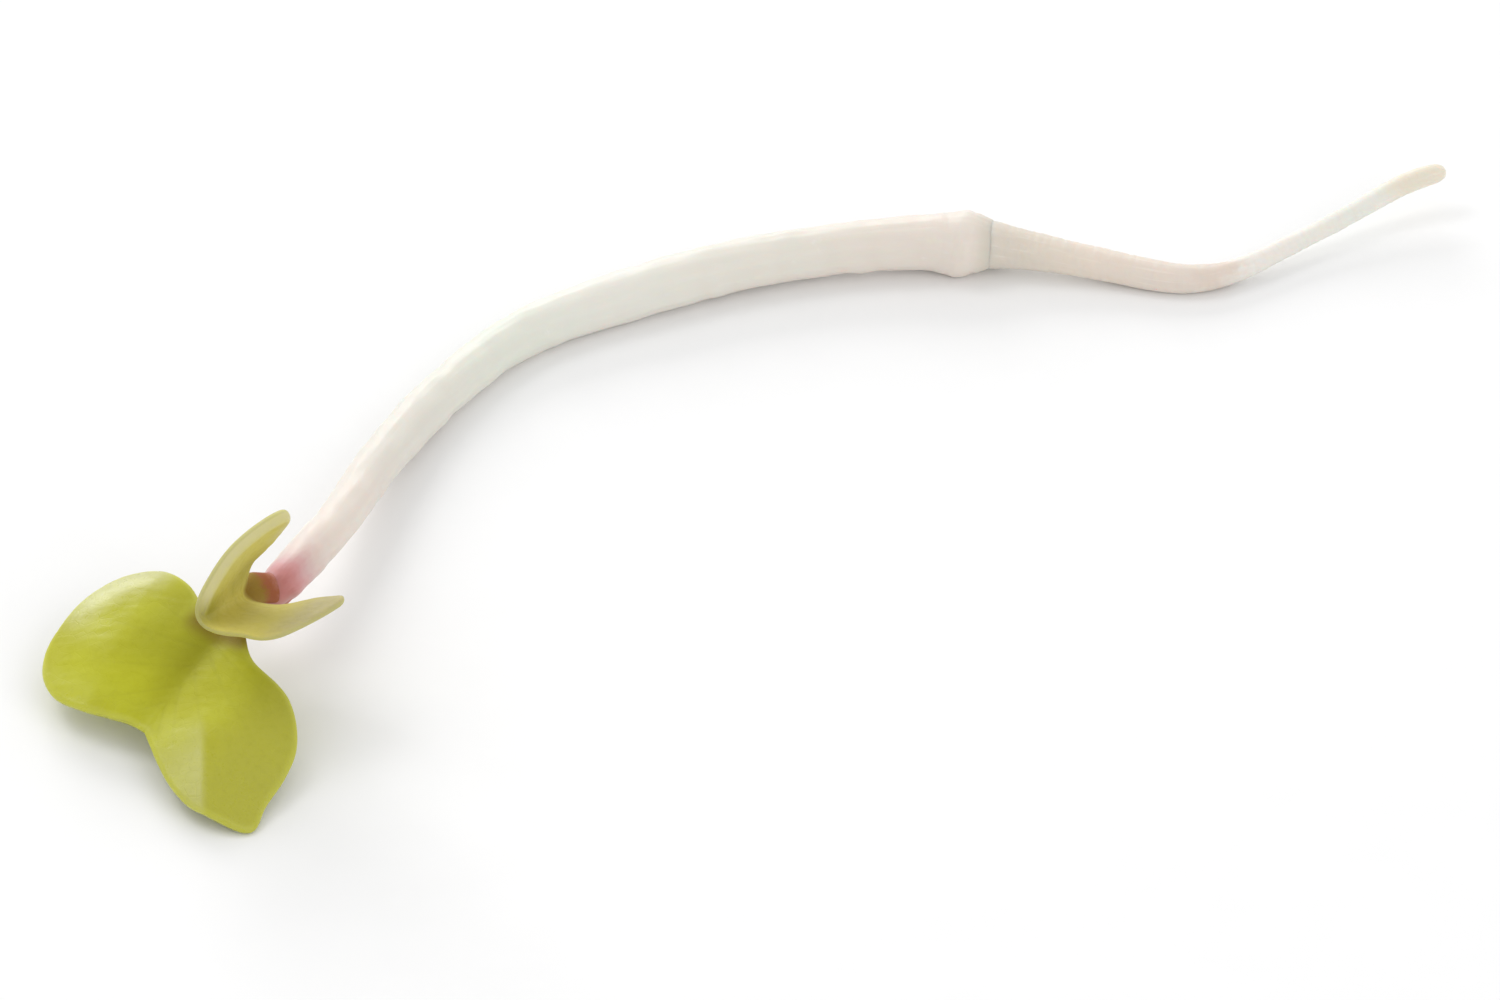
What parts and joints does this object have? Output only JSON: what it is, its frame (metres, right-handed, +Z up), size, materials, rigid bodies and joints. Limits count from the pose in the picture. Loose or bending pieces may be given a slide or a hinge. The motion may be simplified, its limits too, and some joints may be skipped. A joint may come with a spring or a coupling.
{
  "type": "radish sprout",
  "caption": "Fresh radish sprout lying on its side, with a white curved stem, a thin root and folded yellow-green seed leaves.",
  "frame": {"origin": "on the surface that the sprout lies on, under the middle of its extent seen from above", "axes": "+Z up; the root's tip is at the +X end, the seed leaves at the -X end, and the stem's bow points to +Y"},
  "size_m": [0.056, 0.0396, 0.0095],
  "materials": {
    "root_skin": "thin beige-cream root skin, finely wrinkled, satin, nearly white towards the tip",
    "stem_skin": "moist, translucent white plant skin with fine lengthwise ridges, flushed pink at the leaf end",
    "outer_leaf": "fleshy yellow-green leaf with a soft sheen, faint veins and a paler margin",
    "inner_leaf": "fleshy olive-green leaf with a pale rim, brown-red towards its stalk"
  },
  "bodies": {
    "root": {"root": "root_skin", "hypocotyl": "stem_skin", "cotyledon_outer": "outer_leaf", "cotyledon_inner": "inner_leaf"}
  },
  "joints": []
}
